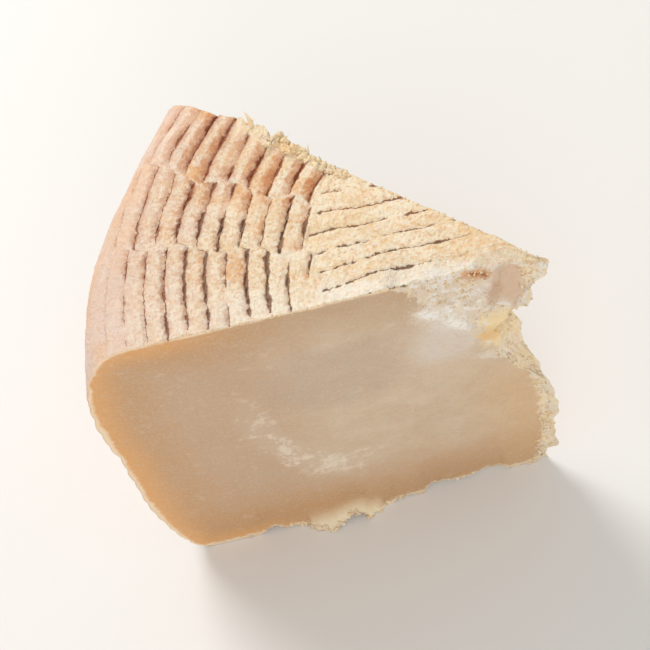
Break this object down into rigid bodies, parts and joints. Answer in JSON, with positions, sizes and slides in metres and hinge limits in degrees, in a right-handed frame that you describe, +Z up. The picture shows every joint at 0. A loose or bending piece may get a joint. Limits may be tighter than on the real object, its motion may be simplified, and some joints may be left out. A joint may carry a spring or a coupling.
{
  "type": "cheese chunk",
  "caption": "Wedge of aged goat cheese cut from a tall basket-moulded wheel, with ridged rind, flat cut faces and a snapped, crumbly point.",
  "frame": {"origin": "middle of the wedge's box in X and Y, on the base it stands on", "axes": "+Z up from the wheel's base to its top; -X towards the rounded rind and +X towards the snapped point; -Y towards the cut face seen in the picture and +Y towards the other cut face"},
  "size_m": [0.0952, 0.0648, 0.1053],
  "materials": {
    "cheese": "cream paste, golden towards the rind, with a ridged straw to orange-brown rind; matte"
  },
  "bodies": {
    "root": {"cheese_wedge": "cheese"}
  },
  "joints": []
}
